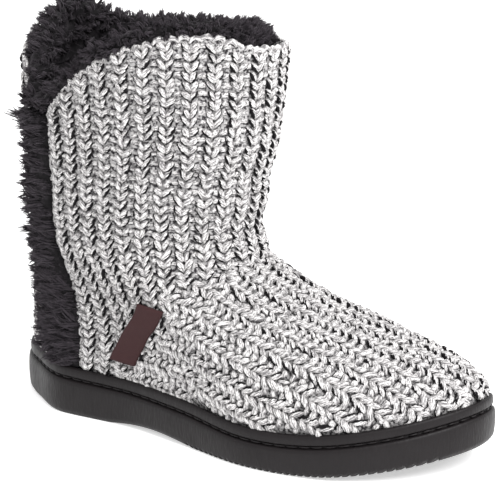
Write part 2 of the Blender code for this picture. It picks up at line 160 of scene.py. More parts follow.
def base_height(x):
    """Underside: flat under heel and ball, half a sine under the arch, and the toe's spring."""
    way = np.clip((along(x) - ARCH_START) / ARCH_RUN, 0, 1)
    return ARCH_LIFT * np.sin(pi * way) + toe_spring(x)


def lip_height(x):
    """Top edge of the lip, smooth through the heights of heel, waist, ball and toe."""
    return table_value(LIP_HEIGHTS, 1, along(x)) + toe_spring(x)


def floor_height(x):
    """Floor of the cup."""
    return lip_height(x) - FLOOR_UNDER_LIP


def grid_quads(rows, columns, wrap_rows=False, wrap_columns=False):
    """Corner numbers of the quads of a grid of points, which may close on itself either way."""
    i = np.arange(rows if wrap_rows else rows - 1)[:, None]
    j = np.arange(columns if wrap_columns else columns - 1)[None, :]
    up, on = (i + 1) % rows, (j + 1) % columns
    corners = [i * columns + j, i * columns + on, up * columns + on, up * columns + j]
    return np.stack(np.broadcast_arrays(*corners), axis=-1).reshape(-1, 4)


def capped_stack(rings):
    """Points and polygons of closed rings stacked upwards. The first and last are closed by quads across them
    and a triangle at heel and toe."""
    count = len(rings[0])
    half = count // 2
    i = np.arange(1, half - 1)
    across = np.stack([i, i + 1, count - i - 1, count - i], axis=1)
    ends = np.array([[0, 1, count - 1], [half - 1, half, half + 1]])
    last = (len(rings) - 1) * count
    walls = grid_quads(len(rings), count, wrap_columns=True)
    return np.concatenate(rings), [walls, across[:, ::-1], ends[:, ::-1], across + last, ends + last]


def new_object(name, data):
    """Object with that mesh, lamp or camera, linked to the scene."""
    made = bpy.data.objects.new(name, data)
    bpy.context.scene.collection.objects.link(made)
    return made


def make_piece(name, points, polygons, material, slot, values=None):
    """Object with a mesh of those points and of arrays of equal-sided polygons, smooth shaded, that rides on
    the part's one body. Values are named numbers kept at its points."""
    points = np.asarray(points, np.float32).reshape(-1, 3)
    mesh = bpy.data.meshes.new(name)
    sides = np.concatenate([np.full(len(group), group.shape[1]) for group in polygons])
    corners = np.concatenate([group.ravel() for group in polygons])
    mesh.vertices.add(len(points))
    mesh.vertices.foreach_set("co", points.ravel())
    mesh.loops.add(len(corners))
    mesh.loops.foreach_set("vertex_index", corners.astype(np.int32))
    mesh.polygons.add(len(sides))
    mesh.polygons.foreach_set("loop_start", (np.cumsum(sides) - sides).astype(np.int32))
    for key, array in (values or {}).items():
        attribute = mesh.attributes.new(key, "FLOAT", "POINT")
        attribute.data.foreach_set("value", np.asarray(array, np.float32).ravel())
    mesh.update(calc_edges=True)
    mesh.shade_smooth()
    mesh.materials.append(material)
    made = new_object(name, mesh)
    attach(made, "root")
    return made


def new_material(name, colour, roughness, **sockets):
    """Principled material with its constant sockets set; returns it with its node tree and shader."""
    made = bpy.data.materials.new(name)
    made.use_nodes = True
    shader = made.node_tree.nodes["Principled BSDF"]
    shader.inputs["Base Color"].default_value = (*colour, 1.0)
    shader.inputs["Roughness"].default_value = roughness
    for key, value in sockets.items():
        shader.inputs[key.replace("_", " ")].default_value = value
    return made, made.node_tree, shader


def add_node(tree, kind, inputs=None, **settings):
    """Node with its settings and inputs; an input that is a socket is linked to it."""
    made = tree.nodes.new("ShaderNode" + kind)
    for key, value in settings.items():
        setattr(made, key, value)
    for key, value in (inputs or {}).items():
        if isinstance(value, bpy.types.NodeSocket):
            tree.links.new(value, made.inputs[key])
        else:
            made.inputs[key].default_value = value
    return made


def blend_colours(tree, share, low, high):
    """Colour socket that goes from low to high, each a colour or a socket, with the share."""
    made = add_node(tree, "Mix", {0: share}, data_type="RGBA")
    for place, value in ((6, low), (7, high)):
        if isinstance(value, bpy.types.NodeSocket):
            tree.links.new(value, made.inputs[place])
        else:
            made.inputs[place].default_value = (*value, 1.0)
    return made.outputs[2]


def tint(tree, shader, share, low, high):
    """Joins the blend of two colours to the shader's base colour."""
    tree.links.new(blend_colours(tree, share, low, high), shader.inputs["Base Color"])


def narrow(tree, value, low, high):
    """Share of the way from low to high, smoothly clamped."""
    made = add_node(tree, "MapRange", {0: value, 1: low, 2: high}, interpolation_type="SMOOTHSTEP")
    return made.outputs[0]


def object_noise(tree, scale, detail=3.0, stretch=(1.0, 1.0, 1.0), turn=(0.0, 0.0, 0.0)):
    """Noise on the object's own coordinates, turned and stretched."""
    place = add_node(tree, "TexCoord").outputs["Object"]
    moved = add_node(tree, "Mapping", {"Vector": place, "Scale": stretch, "Rotation": turn}).outputs[0]
    return add_node(tree, "TexNoise", {"Vector": moved, "Scale": scale, "Detail": detail}).outputs[0]


def add_bump(tree, shader, height, distance, strength=1.0):
    """Joins a height to the shader's normal."""
    bump = add_node(tree, "Bump", {"Height": height, "Distance": distance, "Strength": strength})
    tree.links.new(bump.outputs[0], shader.inputs["Normal"])


rubber, tree, shader = new_material("sole_rubber", (0.015, 0.0125, 0.0135), 0.50, Specular_IOR_Level=0.18)
mottle = object_noise(tree, 60.0)
tint(tree, shader, mottle, (0.0075, 0.0060, 0.0065), (0.0120, 0.0100, 0.0107))
slanted = object_noise(tree, 900.0, 2.0, (1.0, 1.0, 0.25), (0.0, 0.7, 0.0))
tree.links.new(narrow(tree, slanted, -1.2, 2.4), shader.inputs["Roughness"])
add_bump(tree, shader, slanted, 0.00025, 0.8)

slot_starts = np.arange(RIBS_START * SOLE_LENGTH, RIBS_END * SOLE_LENGTH, RIB_PITCH)
slot_starts = slot_starts - HEEL_CENTRE - RIB_SLOT / 2
rib_marks = (slot_starts[:, None] + np.array([0, RIB_EDGE, RIB_SLOT - RIB_EDGE, RIB_SLOT])).ravel()
even = (1 - np.cos(pi * np.linspace(0, 1, SOLE_RUNGS))) / 2 * SOLE_LENGTH - HEEL_CENTRE
clear = np.abs(even[:, None] - rib_marks).min(axis=1) > RUNG_CLEARANCE
rungs = np.unique(np.concatenate([even[clear], rib_marks]))
rungs = np.arccos(np.clip(1 - 2 * along(rungs), -1, 1)) / pi
sole_s = np.concatenate([rungs, 2 - rungs[-2:0:-1]])


def rib_rise(x):
    """Depth of the slots that leave the tread's ribs: a trapezoid at each rib pitch."""
    first = slot_starts[0]
    over = np.mod(x - first, RIB_PITCH)
    inside = np.clip(np.minimum(over, RIB_SLOT - over) / RIB_EDGE, 0, 1) * (over < RIB_SLOT)
    return RIB_DEPTH * inside * (x > first) * (x < slot_starts[-1] + RIB_SLOT)


SOLE_SECTION = (
    # inset, share of the wall's height, metres above the wall's top, ribs
    (0.0022, 0.00, 0.0, 1.0),
    (0.0014, 0.05, 0.0, 1.0),
    (0.0008, 0.10, 0.0, 0.8),
    (0.0006, 0.125, 0.0, 0.0),
    (0.0004, 0.18, 0.0, 0.0),
    (0.0002, 0.30, 0.0, 0.0),
    (0.0000, 0.46, 0.0, 0.0),
    (0.0000, 0.66, 0.0, 0.0),
    (0.0002, 0.84, 0.0, 0.0),
    (0.0005, 0.93, 0.0, 0.0),
    (0.0010, 0.97, 0.0, 0.0),
    (0.0018, 0.985, 0.0, 0.0),
    (0.0029, 0.99, 0.0, 0.0),
    (0.0030, 1.0, 0.0013, 0.0),
    (0.0017, 1.0, 0.0014, 0.0),
    (0.0013, 1.0, 0.0017, 0.0),
    (0.0012, 1.0, 0.0024, 0.0),
    (0.0013, 1.0, 0.0040, 0.0),
    (0.0015, 1.0, 0.0052, 0.0),
    (0.0019, 1.0, 0.0058, 0.0),
    (0.0025, 1.0, 0.0061, 0.0),
    (0.0032, 1.0, 0.0062, 0.0),
    (0.0037, 1.0, 0.0059, 0.0),
    (LIP_INSET + CUP_DRAFT, 1.0, 0.0050, 0.0),
    (LIP_INSET + CUP_DRAFT, 1.0, LIP_BAND - FLOOR_UNDER_LIP, 0.0),
)
slots = rib_rise(outline(sole_s)[0])
rings = []
for inset, share, above, ribs in SOLE_SECTION:
    x, y = outline(sole_s, inset)
    z = (1 - share) * base_height(x) + share * (lip_height(x) - LIP_BAND) + above + ribs * slots
    rings.append(np.stack([x, y, z], axis=1))
outsole = make_piece("rubber_outsole", *capped_stack(rings), rubber, "sole_rubber")
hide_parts("outsole")


# Groove stitches. The mould's groove carries a row of short raised dashes that look like a sewn welt. They
# are the same rubber as the sole and stand just inside the groove.
STITCH_PITCH = 0.0062
STITCH_LENGTH = 0.0044
STITCH_RADIUS = 0.00050
STITCH_INSET = 0.0019
STITCH_RISE = 0.00065
GROOVE_INSET = 0.0022
STRAIGHT_UP = np.array([0.0, 0.0, 1.0])


def length_along(points):
    """Distance of each point of a line, or of a row of them, from its first, as the sum of the steps."""
    steps = np.linalg.norm(np.diff(points, axis=-2), axis=-1)
    return np.concatenate([np.zeros_like(steps[..., :1]), steps.cumsum(axis=-1)], axis=-1)


def along_outline(pitch, inset):
    """Places round the sole at an even pitch of true length, and that line's whole length."""
    s = np.linspace(0, 2, 4001)
    length = length_along(np.stack(outline(s, inset), axis=-1))
    steps = int(length[-1] / pitch)
    return np.interp(np.arange(steps) * length[-1] / steps, length, s), length[-1]


def tube_faces(rings_each, sides, copies):
    """Polygons of many closed tubes of equal count: side quads and two end caps a tube."""
    quads = grid_quads(rings_each, sides, wrap_columns=True)
    caps = np.stack([np.arange(sides)[::-1], np.arange(sides) + (rings_each - 1) * sides])
    step = np.arange(copies)[:, None, None] * rings_each * sides
    return [(quads[None] + step).reshape(-1, 4), (caps[None] + step).reshape(-1, sides)]


def unit(vectors):
    """The same directions, one long."""
    return vectors / np.linalg.norm(vectors, axis=-1, keepdims=True)


starts, girth = along_outline(STITCH_PITCH, GROOVE_INSET)
part_way = np.linspace(0, 1, 5)
stitch_s = starts[:, None] + part_way * STITCH_LENGTH / girth * 2
x, y = outline(stitch_s, STITCH_INSET)
centre = np.stack([x, y, lip_height(x) - LIP_BAND + STITCH_RISE], axis=-1)
x_in, y_in = outline(stitch_s, STITCH_INSET + 0.001)
outward = unit(np.stack([x - x_in, y - y_in, 0 * x], axis=-1))
angle = np.arange(6) * pi / 3
radius = STITCH_RADIUS * np.array([0.35, 0.95, 1.0, 0.95, 0.35])[None, :, None, None]
tubes = centre[:, :, None] + radius * (
    np.cos(angle)[:, None] * outward[:, :, None] + np.sin(angle)[:, None] * STRAIGHT_UP
)
make_piece("groove_stitches", tubes, tube_faces(5, 6, len(starts)), rubber, "sole_rubber")


# Footbed. A foam insole covered with short dark pile, its top edge rolled over. It is cut to the room that
# the knit leaves inside the cup, and laid on the cup's floor.
INSOLE_THICKNESS = 0.0055
UPPER_GAP = 0.0003
KNIT_WALL = 0.0032
CUP_INSET = LIP_INSET + CUP_DRAFT + 0.0006
INSOLE_INSET = CUP_INSET + KNIT_WALL + 0.0009
FOOTBED_STATIONS = 240
FOOTBED_SECTION = (
    # inset, share of the height
    (0.0000, 0.00),
    (0.0000, 0.55),
    (0.0003, 0.78),
    (0.0012, 0.93),
    (0.0030, 0.98),
    (0.0100, 1.00),
)
pile, tree, shader = new_material(
    "footbed_pile", (0.03, 0.027, 0.029), 0.95, Sheen_Weight=0.5, Sheen_Roughness=0.5, Specular_IOR_Level=0.15
)
nap = object_noise(tree, 420.0, 4.0)
tint(tree, shader, nap, (0.014, 0.012, 0.014), (0.060, 0.055, 0.058))
add_bump(tree, shader, nap, 0.0012)


def even_places(count):
    """Places at an even step round the whole outline."""
    return np.arange(count) * 2.0 / count


bed_s = even_places(FOOTBED_STATIONS)
rings = []
for inset, height in FOOTBED_SECTION:
    x, y = outline(bed_s, INSOLE_INSET + inset)
    z = floor_height(x) + UPPER_GAP + height * (INSOLE_THICKNESS - UPPER_GAP)
    rings.append(np.stack([x, y, z], axis=1))
footbed = make_piece("pile_footbed", *capped_stack(rings), pile, "footbed_fabric")
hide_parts("insole")


# Knit wall. The body of the upper: one knitted shell, turned in at the collar and the slit and glued into
# the cup. It is the flecked grey ground that shows in the gaps between the yarn's stitches; its darkness
# is partly painted shade in those gaps.
BULGE_INSET = 0.0026
LIP_LEVEL = 0.06
INSTEP_HEIGHT = 0.092
SHAFT_WIDTH = 0.104
SHAFT_FULLNESS = 0.92
SLIT_GAP = 0.0018
FRONT_CORNER_RUN = 0.42
BACK_CORNER_RUN = 0.40
FRONT_CORNER_DROP = 0.150
BACK_CORNER_DROP = 0.138
CORNER_POWER = 2.2
COLLAR_DIP = 0.028
DIP_START = 0.80
DIP_RUN = 0.18
DIP_END = 1.92
UPPER_RINGS = (
    # level, follows lip, back rise, front rise, back place, front place, width, oval
    (0.00, 1.00, 0.000, 0.000, 0.000, 1.000, 1.000, 0.00),
    (0.06, 1.00, 0.000, 0.000, 0.000, 1.000, 1.000, 0.00),
    (0.12, 1.00, 0.100, 0.055, 0.008, 0.990, 1.000, 0.00),
    (0.20, 0.60, 0.300, 0.268, 0.012, 0.960, 0.990, 0.03),
    (0.28, 0.30, 0.483, 0.447, 0.016, 0.905, 0.965, 0.12),
    (0.36, 0.00, 0.663, 0.590, 0.021, 0.826, 0.915, 0.28),
    (0.44, 0.00, 0.760, 0.668, 0.027, 0.728, 0.870, 0.50),
    (0.52, 0.00, 0.870, 0.770, 0.034, 0.628, 0.848, 0.75),
    (0.60, 0.00, 1.000, 0.905, 0.039, 0.545, 0.842, 0.94),
    (0.67, 0.00, 1.150, 1.120, 0.041, 0.530, 0.862, 1.00),
    (0.82, 0.00, 1.570, 1.580, 0.038, 0.564, 0.940, 1.00),
    (1.00, 0.00, 2.080, 2.100, 0.028, 0.582, 1.040, 1.00),
)
SLIT_EDGES = (
    # level, rear, front
    (0.00, 0.242, 0.318),
    (0.36, 0.262, 0.340),
    (0.62, 0.292, 0.374),
    (1.00, 0.285, 0.365),
)
VAMP_SEAM = (
    # level, outer side, inner side
    (0.00, 0.370, 1.640),
    (0.13, 0.420, 1.600),
    (0.45, 0.585, 1.450),
    (0.49, 0.615, 1.420),
    (0.565, 0.770, 1.300),
    (0.62, 1.060, 1.061),
)
THROAT_LEVEL = 0.62
TROUGH_REACH = 0.012
TROUGH_DEPTH = 0.0007
GROUND_DEPTH = 0.0011
WALL_STATIONS = 180
WALL_LEVELS = 56


def ring_value(column, level):
    """One column of UPPER_RINGS at a level between its rows."""
    return table_value(UPPER_RINGS, column, level)


def upper_point(s, level):
    """Outer face of the upper: the outline inside the cup, shrunk, rounded and raised ring by ring."""
    s, level = np.broadcast_arrays(np.mod(np.asarray(s, float), 2.0), np.asarray(level, float))
    turn = 1 - np.abs(1 - s)
    tucked = np.clip(2.0 - level / LIP_LEVEL, 0.0, 1.0)
    line_x, line_y = outline(s, BULGE_INSET + (CUP_INSET - BULGE_INSET) * tucked)
    share = along(line_x)
    back_x = ring_value(4, level)
    x = SOLE_LENGTH * (back_x + (ring_value(5, level) - back_x) * share) - HEEL_CENTRE
    round_y = np.where(s < 1, -0.5, 0.5) * SHAFT_WIDTH * np.sin(pi * turn) ** SHAFT_FULLNESS
    oval = ring_value(7, level)
    y = ring_value(6, level) * ((1 - oval) * line_y + oval * round_y)
    rise = INSTEP_HEIGHT * (ring_value(2, level) * (1 - share) + ring_value(3, level) * share)
    z = ring_value(1, level) * lip_height(x) + rise
    cup_z = floor_height(x) + UPPER_GAP
    z = np.where(level < LIP_LEVEL, cup_z + (lip_height(x) - cup_z) * level / LIP_LEVEL, z)
    return np.stack([x, y, z], axis=-1)


def upper_normal(s, level):
    """Outward direction of that face: the cross product of its two tangents, laid level inside the cup."""
    small = 1e-3
    low, high = np.maximum(level - small, 0.0), np.minimum(level + small, 1.0)
    onward = upper_point(s + small, level) - upper_point(s - small, level)
    normal = np.cross(onward, upper_point(s, high) - upper_point(s, low))
    flat = np.asarray(level)[..., None] < LIP_LEVEL
    return unit(np.where(flat, normal * np.array([1.0, 1.0, 0.0]), normal))


def slit_edge(column, level):
    """Place of the slit's rear edge, column 1, or front edge, column 2."""
    return table_value(SLIT_EDGES, column, level)


def round_knit(level, share):
    """Place at a share of the way round the knit, from the slit's front edge by the toe to its rear edge."""
    start = slit_edge(2, level) + SLIT_GAP
    return start + (2.0 + slit_edge(1, level) - slit_edge(2, level) - 2 * SLIT_GAP) * share


def seam_place(column, level):
    """Place of the vamp's seam on the outer side, column 1, or the inner side, column 2."""
    return table_value(VAMP_SEAM, column, level)


def collar_level(s):
    """Level of the top edge: it rounds down to the slit, and its front and inner side stand lower."""
    s = np.mod(np.asarray(s, float), 2.0)
    back, front = slit_edge(1, 1.0), slit_edge(2, 1.0)
    ahead = np.clip(1 - (s - front) / FRONT_CORNER_RUN, 0.0, 1.0)
    behind = np.clip(1 - np.mod(back - s, 2.0) / BACK_CORNER_RUN, 0.0, 1.0)
    across = np.clip((s - back) / (front - back), 0.0, 1.0)
    lower = np.clip(np.minimum(s - DIP_START, DIP_END - s) / DIP_RUN, 0.0, 1.0)
    dip = COLLAR_DIP * lower * lower * (3 - 2 * lower)
    front_corner = FRONT_CORNER_DROP * ahead**CORNER_POWER
    back_corner = BACK_CORNER_DROP * behind**CORNER_POWER
    between = BACK_CORNER_DROP + (FRONT_CORNER_DROP - BACK_CORNER_DROP) * across
    elsewhere = np.where(s >= front, front_corner, 0) + back_corner + dip
    return 1 - np.where((s > back) & (s < front), between, elsewhere)


CREASES = (
    # s, level, reach in s, reach in level, metres out
    (1.02, 0.655, 0.30, 0.022, -0.0016),
    (0.98, 0.700, 0.34, 0.024, 0.0012),
    (0.90, 0.745, 0.26, 0.020, -0.0009),
    (0.74, 0.520, 0.16, 0.040, -0.0008),
    (1.00, 0.470, 0.24, 0.030, -0.0010),
    (0.50, 0.720, 0.10, 0.120, -0.0007),
)


def bell(x, centre, reach):
    """Bell curve of height 1."""
    return np.exp(-(((x - centre) / reach) ** 2))


def knit_point(s, level, depth=0.0):
    """Point under the upper's face by the depth, with the listed creases added as round bells and the
    vamp's seam as a narrow trough."""
    out = np.zeros(np.broadcast(s, level).shape)
    for place, height, reach, reach_up, size in CREASES:
        out += size * np.exp(-(((s - place) / reach) ** 2) - ((level - height) / reach_up) ** 2)
    for column in (1, 2):
        trough = bell(np.mod(s, 2.0), seam_place(column, level), TROUGH_REACH)
        out -= TROUGH_DEPTH * trough * (level < THROAT_LEVEL)
    return upper_point(s, level) + (out - depth)[..., None] * upper_normal(s, level)


# Painted shade: the ground is darker than the yarn to stand for the shade in the gaps between stitches.
ground_with_painted_shade, tree, shader = new_material("knit_ground_painted_shade", (0.15, 0.145, 0.15), 1.0, Specular_IOR_Level=0.1)
flecks = object_noise(tree, 700.0, 3.0)
tint(tree, shader, narrow(tree, flecks, 0.38, 0.62), (0.03, 0.027, 0.03), (0.44, 0.43, 0.43))
add_bump(tree, shader, flecks, 0.0008)

heights = np.concatenate([[0.0, LIP_LEVEL], np.linspace(0.075, 1.0, WALL_LEVELS)])[:, None]
across = np.linspace(0.0, 1.0, WALL_STATIONS)[None, :]
level = heights * collar_level(round_knit(1.0, across))
level[:2] = heights[:2]
s = round_knit(level, across)


def wall_faces(rows, columns):
    """Quads of a closed wall between two equal grids, the second behind the first, with its four borders."""
    front = grid_quads(rows, columns)
    index = np.arange(rows * columns).reshape(rows, columns)
    border = np.concatenate([index[0], index[1:, -1], index[-1, -2::-1], index[-2:0:-1, 0]])
    behind = border + rows * columns
    edge = np.stack([np.roll(border, -1), border, behind, np.roll(behind, -1)], axis=1)
    return [front, front[:, ::-1] + rows * columns, edge]


skins = [knit_point(s, level, depth) for depth in (GROUND_DEPTH, KNIT_WALL)]
knit_wall = make_piece("knit_wall", skins, wall_faces(*s.shape), ground_with_painted_shade, "marled_knit")
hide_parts("upper")


# Marled rib stitches. A thick yarn of off-white, grey and thin black plies, knitted in ribs: columns of
# plain stitches, seen as stacked Vs, between sunk columns of purl bars. The shaft's columns run up the leg.
# The black ply runs along the lower side of each leg, bar and loop: partly real ply, partly painted shade.
WALE_PITCH = 0.0114
COURSE_PITCH = 0.00440
SHAFT_COLUMNS = 33
FRONT_COLUMNS = 18
ANKLE_LEVEL = 0.60
V_HALF_WIDTH = 0.0031
V_HEIGHT = 0.0038
LEG_RADIUS = 0.00158
BAR_HALF_WIDTH = 0.0024
BAR_RADIUS = 0.00140
BAR_SUNK = 0.0020
LOOP_HALF_WIDTH = 0.0031
LOOP_RISE = 0.0022
YARN_SIDES = 6
YARN_RINGS = 5
LOOSE = 0.12
JITTER = 0.00026
# Painted shade: the shaft gets more black ply than the vamp, and its sunk purl bars more still.
SHAFT_PAINTED_SHADE = 0.12
BAR_PAINTED_SHADE = 0.35
SEAM_LAP = 0.010
THROAT_LAP = 0.006
LIP_LAP = 0.004
COLLAR_MARGIN = 0.008
draw = np.random.default_rng(7)


def own_value(tree, name):
    """Value that a piece keeps at its points under that name."""
    return add_node(tree, "Attribute", attribute_name=name).outputs["Fac"]


def weigh(tree, value, factor, rest):
    """The value times the factor, plus the rest."""
    return add_node(tree, "Math", {0: value, 1: factor, 2: rest}, operation="MULTIPLY_ADD").outputs[0]


yarn, tree, shader = new_material("marled_yarn", (0.8, 0.78, 0.77), 0.9, Specular_IOR_Level=0.1)
edge, lengthwise, shade = (own_value(tree, name) for name in ("edge", "lengthwise", "shade"))
spiral = weigh(tree, lengthwise, 0.9, edge)
fibre_place = add_node(tree, "CombineXYZ", {0: spiral, 1: lengthwise, 2: shade}).outputs[0]
stretched = add_node(tree, "Mapping", {"Vector": fibre_place, "Scale": (2.6, 1.5, 37.0)}).outputs[0]
fibres = add_node(tree, "TexNoise", {"Vector": stretched, "Scale": 1.6, "Detail": 3.0}).outputs[0]
speckle = object_noise(tree, 1500.0, 2.0)
pale = blend_colours(tree, narrow(tree, fibres, 0.41, 0.62), (0.73, 0.714, 0.708), (0.18, 0.172, 0.176))
pale = blend_colours(tree, narrow(tree, speckle, 0.55, 0.68), pale, (0.13, 0.123, 0.127))
# Black ply and painted shade: near black on each tube's lower side, widened by the shade value.
wander = weigh(tree, fibres, 1.8, weigh(tree, shade, 0.45, edge))
black_ply_and_shade = narrow(tree, wander, 1.68, 1.75)
tint(tree, shader, black_ply_and_shade, pale, (0.010, 0.009, 0.010))
add_bump(tree, shader, fibres, 0.0007, 0.8)


def yarn_template(path, radius, flatten, edge_turn):
    """One tube of yarn along a path of (across, up, out) points: rings of the radius, flattened outwards.
    Returns its points, its share of length and how near each point lies to the black ply and painted shade."""
    path = np.asarray(path, float)
    tangent = unit(np.gradient(path, axis=0))
    out = STRAIGHT_UP
    side = unit(np.cross(tangent, out))
    angle = np.arange(YARN_SIDES) * 2 * pi / YARN_SIDES
    ring = np.cos(angle)[None, :, None] * side[:, None] + flatten * np.sin(angle)[None, :, None] * out
    points = path[:, None] + np.asarray(radius)[:, None, None] * ring
    share = np.broadcast_to(np.linspace(0, 1, len(path))[:, None], points.shape[:2])
    near = np.broadcast_to(np.cos(angle - edge_turn)[None, :], points.shape[:2])
    return points.reshape(-1, 3), share.ravel(), near.ravel()


def leg_path(side, wide=1.0, tall=1.0):
    """A plain stitch's leg from its outer top to the apex, bowed outwards like half a heart."""
    t = np.linspace(0, 1, YARN_RINGS)
    across = side * wide * V_HALF_WIDTH * (1.03 - 0.86 * t - 0.14 * t * t)
    up = tall * V_HEIGHT * (0.62 - 1.18 * t)
    out = -0.0006 + 0.0005 * np.sin(pi * t) + 0.0002 * t
    return np.stack([across, up, out], axis=1)


def bar_path(wide, sunk):
    """A purl bar, arched up and out in its middle, with its ends sunk by that depth."""
    t = np.linspace(-1, 1, YARN_RINGS)
    arch = 1 - t * t
    return np.stack([wide * BAR_HALF_WIDTH * t, 0.0006 * arch, 0.0010 * arch - sunk], axis=1)


def loop_path():
    """A loop of the cast-off edge: an arch between two columns that rolls over the rim."""
    t = np.linspace(-1, 1, YARN_RINGS)
    arch = 1 - t * t
    return np.stack([LOOP_HALF_WIDTH * t, LOOP_RISE * arch - 0.0014, -0.0012 - 0.0004 * arch], axis=1)


def v_legs(wide=1.0, tall=1.0):
    """Both legs of a plain stitch, each with the black ply and painted shade on its lower outer side."""
    turns = ((-1, 0.0), (1, pi))
    return [yarn_template(leg_path(side, wide, tall), leg_radius, 0.85, turn) for side, turn in turns]


leg_radius = LEG_RADIUS * np.array([0.55, 1.0, 1.0, 0.95, 0.50])
bar_radius = BAR_RADIUS * np.array([0.60, 0.98, 1.0, 0.98, 0.60])
plain_v = v_legs()
# Bars and loops carry the black ply and painted shade on their lower side.
purl_bar = [yarn_template(bar_path(1.0, BAR_SUNK), bar_radius, 0.80, -0.4)]
edge_loop = [yarn_template(loop_path(), bar_radius, 0.95, -0.4)]


def knit_stitches(templates, frames, painted_shade):
    """Copies templates to every stitch: each place is its centre plus the template's three lengths along its
    across, up and out vectors, loosened a little at random. The painted shade widens the black ply, as
    painted shade; below zero it narrows it, as painted light."""
    centre, across, up, out = frames
    count = len(centre)
    points, shares, nears, shades = [], [], [], []
    for shape, share, near in templates:
        loose = 1 + LOOSE * draw.standard_normal((count, 1, 3))
        moved = shape[None] * loose + JITTER * draw.standard_normal((count, 1, 3))
        slant = LOOSE * draw.standard_normal((count, 1))
        moved[..., 0] += slant * moved[..., 1]
        moved[..., 1] += 0.10 * draw.standard_normal((count, 1)) * moved[..., 0]
        placed = centre[:, None] + moved[..., :1] * across[:, None] + moved[..., 1:2] * up[:, None]
        points.append(placed + moved[..., 2:] * out[:, None])
        shares.append(np.broadcast_to(share, (count, len(share))))
        nears.append(np.broadcast_to(near, (count, len(near))) + 0.10 * draw.standard_normal((count, 1)))
        # Each stitch's shade value is its painted shade plus a random share.
        shades.append(np.broadcast_to(painted_shade + draw.random((count, 1)), (count, len(share))))
    arrays = (points, shares, nears, shades)
    return [np.concatenate(array).reshape(-1, *array[0].shape[2:]) for array in arrays]


def make_knit(name, groups):
    """One piece of yarn from groups of templates, frames and painted shade."""
    parts = [knit_stitches(*group) for group in groups]
    points, *values = [np.concatenate(arrays) for arrays in zip(*parts)]
    polygons = tube_faces(YARN_RINGS, YARN_SIDES, len(points) // (YARN_RINGS * YARN_SIDES))
    values = dict(zip(("lengthwise", "edge", "shade"), values))
    make_piece(name, points, polygons, yarn, "marled_knit", values)


def stitch_frames(s, level, up_s, up_level):
    """Centre, across, up and out vectors of stitches whose column runs towards (up_s, up_level)."""
    centre = knit_point(s, level)
    up = unit(knit_point(up_s, up_level) - centre)
    out = upper_normal(s, level)
    across = unit(np.cross(up, out))
    return centre, across, np.cross(out, across), out


ring_levels = np.linspace(LIP_LEVEL, 1.0, 95)
ring_s = round_knit(ring_levels[:, None], np.linspace(0, 1, 900))
ring_length = length_along(upper_point(ring_s, ring_levels[:, None]))
ankle_girth = np.interp(ANKLE_LEVEL, ring_levels, ring_length[:, -1])
column_pitch = np.where(ring_levels < ANKLE_LEVEL, ankle_girth, ring_length[:, -1]) / SHAFT_COLUMNS


def shaft_column(number):
    """Places and levels of one column's stitches, a course apart along the column, counted from the ankle.
    Below the ankle a column keeps its distance from the nearer edge of the slit, so it hangs straight."""
    from_front = number * column_pitch
    from_rear = ring_length[:, -1] - (SHAFT_COLUMNS - number) * column_pitch
    place = from_front if number < FRONT_COLUMNS else from_rear
    s_line = np.array([np.interp(p, length, s) for p, length, s in zip(place, ring_length, ring_s)])
    length = length_along(upper_point(s_line, ring_levels))
    ankle = np.interp(ANKLE_LEVEL, ring_levels, length)
    first = ankle - int(ankle / COURSE_PITCH) * COURSE_PITCH
    courses = np.arange(first, length[-1], COURSE_PITCH)
    level = np.interp(courses, length, ring_levels)
    on_level = np.interp(courses + COURSE_PITCH, length, ring_levels)
    return np.interp(level, ring_levels, s_line), level, np.interp(on_level, ring_levels, s_line), on_level


def shaft_frames(offset):
    """Frames of all the shaft's stitches in columns at whole numbers plus the offset."""
    parts = [np.stack(shaft_column(k + offset)) for k in range(SHAFT_COLUMNS + (offset == 0))]
    s, level, up_s, up_level = np.concatenate(parts, axis=1)
    folded = np.mod(s, 2.0)
    in_vamp = (folded > seam_place(1, level) + SEAM_LAP) & (folded < seam_place(2, level) - SEAM_LAP)
    in_vamp &= level < THROAT_LEVEL - THROAT_LAP
    keep = ~in_vamp & (level > LIP_LEVEL - LIP_LAP) & (level < collar_level(s) - COLLAR_MARGIN)
    return stitch_frames(s[keep], level[keep], up_s[keep], np.minimum(up_level[keep], 1.0))


make_knit("shaft_plain_stitches", [(plain_v, shaft_frames(0.5), SHAFT_PAINTED_SHADE)])

wall_level = np.concatenate([level[2:, 0], level[-1, 1:-1], level[:1:-1, -1]])
wall_s = np.concatenate([s[2:, 0], s[-1, 1:-1], s[:1:-1, -1]])
rim_points = upper_point(wall_s, wall_level)
rim_length = length_along(rim_points)


def rim_place(at):
    """Points of the knit's rim at distances along it."""
    return np.stack([np.interp(at, rim_length, rim_points[:, k]) for k in range(3)], axis=1)


at = np.arange(0.5, int(rim_length[-1] / WALE_PITCH * 2)) * WALE_PITCH / 2
loop_s, loop_level = np.interp(at, rim_length, wall_s), np.interp(at, rim_length, wall_level)
out = upper_normal(loop_s, loop_level)
along_rim = unit(rim_place(at + 0.002) - rim_place(at - 0.002))
up = np.cross(out, along_rim)
loops = (upper_point(loop_s, loop_level), np.cross(up, out), up, out)
purl = (purl_bar, shaft_frames(0.0), SHAFT_PAINTED_SHADE + BAR_PAINTED_SHADE)
make_knit("shaft_purl_bars", [purl, (edge_loop, loops, 0.0)])


# Vamp stitches. The vamp is a second piece of the same knit, laid with its columns along the foot, so they
# run out under the lip at the toe. It is sewn to the shaft from the throat down to the sole on either side.
VAMP_LINES = 8
VAMP_WIDER = 1.18
VAMP_TALLER = 1.14
VAMP_BAR_WIDER = 1.15
VAMP_BAR_SUNK = 0.0013
